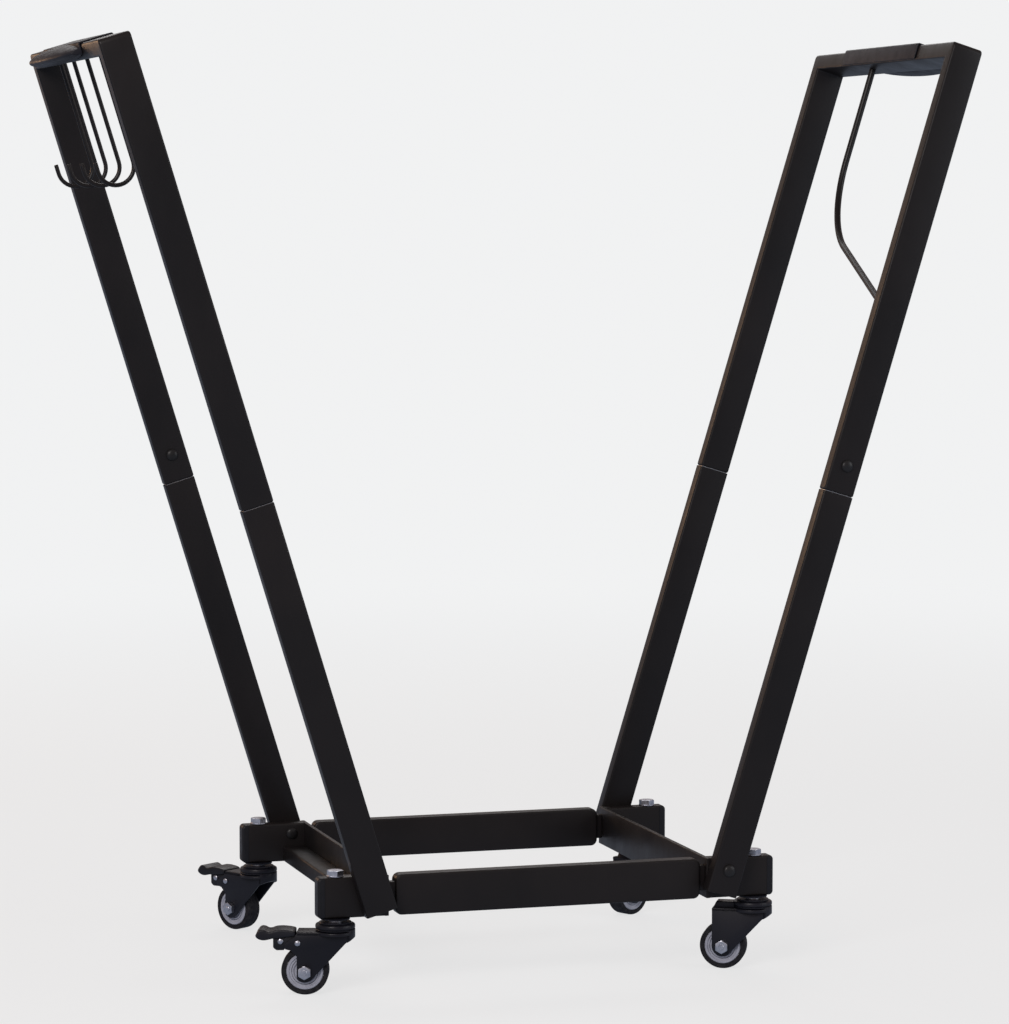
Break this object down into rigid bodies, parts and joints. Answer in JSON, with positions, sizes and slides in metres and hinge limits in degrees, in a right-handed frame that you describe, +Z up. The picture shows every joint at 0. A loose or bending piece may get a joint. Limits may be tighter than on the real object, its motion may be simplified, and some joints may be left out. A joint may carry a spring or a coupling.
{
  "type": "fireside log cart",
  "caption": "Tall black steel log cart: leaning tube frames with hand grips, tool hooks and a bent rod, on a low base with swivel casters.",
  "frame": {"origin": "on the floor, under the middle of the cart's overall box", "axes": "+X to the right frame (the one with the bent rod), +Y to the rear, +Z up"},
  "size_m": [1.1228, 0.5056, 1.0995],
  "materials": {
    "frame_tube": "satin black powder coat",
    "hook_rod": "satin black powder coat",
    "grip": "fine matte moulding",
    "end_cap": "satin moulding",
    "spigot": "bare drawn steel",
    "domed_bolt": "black oxide",
    "caster_fork": "black electrophoretic coat, semi-gloss",
    "bright_hardware": "bright zinc plate",
    "wheel_hub": "satin grey moulding",
    "tyre": "matte rubber",
    "brake_pedal": "satin moulding"
  },
  "bodies": {
    "cart": {"upper_frame_left": "frame_tube", "lower_post_rear_left": "frame_tube", "joint_spigot_rear_left": "spigot", "joint_bolt_rear_left": "domed_bolt", "lower_post_front_left": "frame_tube", "joint_spigot_front_left": "spigot", "joint_bolt_front_left": "domed_bolt", "grip_left": "grip", "tool_hook_1": "hook_rod", "tool_hook_2": "hook_rod", "tool_hook_3": "hook_rod", "tool_hook_4": "hook_rod", "upper_frame_right": "frame_tube", "lower_post_front_right": "frame_tube", "joint_spigot_front_right": "spigot", "joint_bolt_front_right": "domed_bolt", "lower_post_rear_right": "frame_tube", "joint_spigot_rear_right": "spigot", "joint_bolt_rear_right": "domed_bolt", "grip_right": "grip", "tool_bow": "hook_rod", "base_side_left": "frame_tube", "base_side_right": "frame_tube", "front_rail": "frame_tube", "rear_rail": "frame_tube", "end_cap_front_left": "end_cap", "foot_bolt_front_left": "domed_bolt", "end_cap_front_right": "end_cap", "foot_bolt_front_right": "domed_bolt", "end_cap_rear_left": "end_cap", "foot_bolt_rear_left": "domed_bolt", "end_cap_rear_right": "end_cap", "foot_bolt_rear_right": "domed_bolt", "caster_stem_front_left": "bright_hardware", "caster_stem_front_right": "bright_hardware", "caster_stem_rear_left": "bright_hardware", "caster_stem_rear_right": "bright_hardware"},
    "swivel_front_left": {"caster_fork_front_left": "caster_fork", "wheel_axle_front_left": "bright_hardware", "brake_pin_front_left": "bright_hardware"},
    "wheel_front_left": {"wheel_hub_front_left": "wheel_hub", "tyre_front_left": "tyre"},
    "brake_front_left": {"brake_pedal_front_left": "brake_pedal", "brake_rivet_front_left": "bright_hardware"},
    "swivel_front_right": {"caster_fork_front_right": "caster_fork", "wheel_axle_front_right": "bright_hardware"},
    "wheel_front_right": {"wheel_hub_front_right": "wheel_hub", "tyre_front_right": "tyre"},
    "swivel_rear_left": {"caster_fork_rear_left": "caster_fork", "wheel_axle_rear_left": "bright_hardware", "brake_pin_rear_left": "bright_hardware"},
    "wheel_rear_left": {"wheel_hub_rear_left": "wheel_hub", "tyre_rear_left": "tyre"},
    "brake_rear_left": {"brake_pedal_rear_left": "brake_pedal", "brake_rivet_rear_left": "bright_hardware"},
    "swivel_rear_right": {"caster_fork_rear_right": "caster_fork", "wheel_axle_rear_right": "bright_hardware"},
    "wheel_rear_right": {"wheel_hub_rear_right": "wheel_hub", "tyre_rear_right": "tyre"}
  },
  "joints": [
    {"name": "swivel_front_left", "type": "hinge", "parent": "cart", "child": "swivel_front_left", "pos_m": [-0.2555, -0.21971, 0.0736], "axis": [0, 0, 1], "continuous": true},
    {"name": "wheel_front_left", "type": "hinge", "parent": "swivel_front_left", "child": "wheel_front_left", "pos_m": [-0.28831, -0.20905, 0.0274], "axis": [-0.309, -0.9511, 0], "continuous": true},
    {"name": "brake_front_left", "type": "hinge", "parent": "swivel_front_left", "child": "brake_front_left", "pos_m": [-0.29592, -0.20658, 0.061], "axis": [-0.309, -0.9511, 0], "range_deg": [0, 12]},
    {"name": "swivel_front_right", "type": "hinge", "parent": "cart", "child": "swivel_front_right", "pos_m": [0.2555, -0.21971, 0.0736], "axis": [0, 0, 1], "continuous": true},
    {"name": "wheel_front_right", "type": "hinge", "parent": "swivel_front_right", "child": "wheel_front_right", "pos_m": [0.22504, -0.2035, 0.0274], "axis": [-0.4695, -0.8829, 0], "continuous": true},
    {"name": "swivel_rear_left", "type": "hinge", "parent": "cart", "child": "swivel_rear_left", "pos_m": [-0.2555, 0.1687, 0.0736], "axis": [0, 0, 1], "continuous": true},
    {"name": "wheel_rear_left", "type": "hinge", "parent": "swivel_rear_left", "child": "wheel_rear_left", "pos_m": [-0.27479, 0.19729, 0.0274], "axis": [-0.829, -0.5592, 0], "continuous": true},
    {"name": "brake_rear_left", "type": "hinge", "parent": "swivel_rear_left", "child": "brake_rear_left", "pos_m": [-0.27927, 0.20392, 0.061], "axis": [-0.829, -0.5592, 0], "range_deg": [0, 12]},
    {"name": "swivel_rear_right", "type": "hinge", "parent": "cart", "child": "swivel_rear_right", "pos_m": [0.2555, 0.1687, 0.0736], "axis": [0, 0, 1], "continuous": true},
    {"name": "wheel_rear_right", "type": "hinge", "parent": "swivel_rear_right", "child": "wheel_rear_right", "pos_m": [0.22504, 0.15249, 0.0274], "axis": [0.4695, -0.8829, 0], "continuous": true}
  ]
}
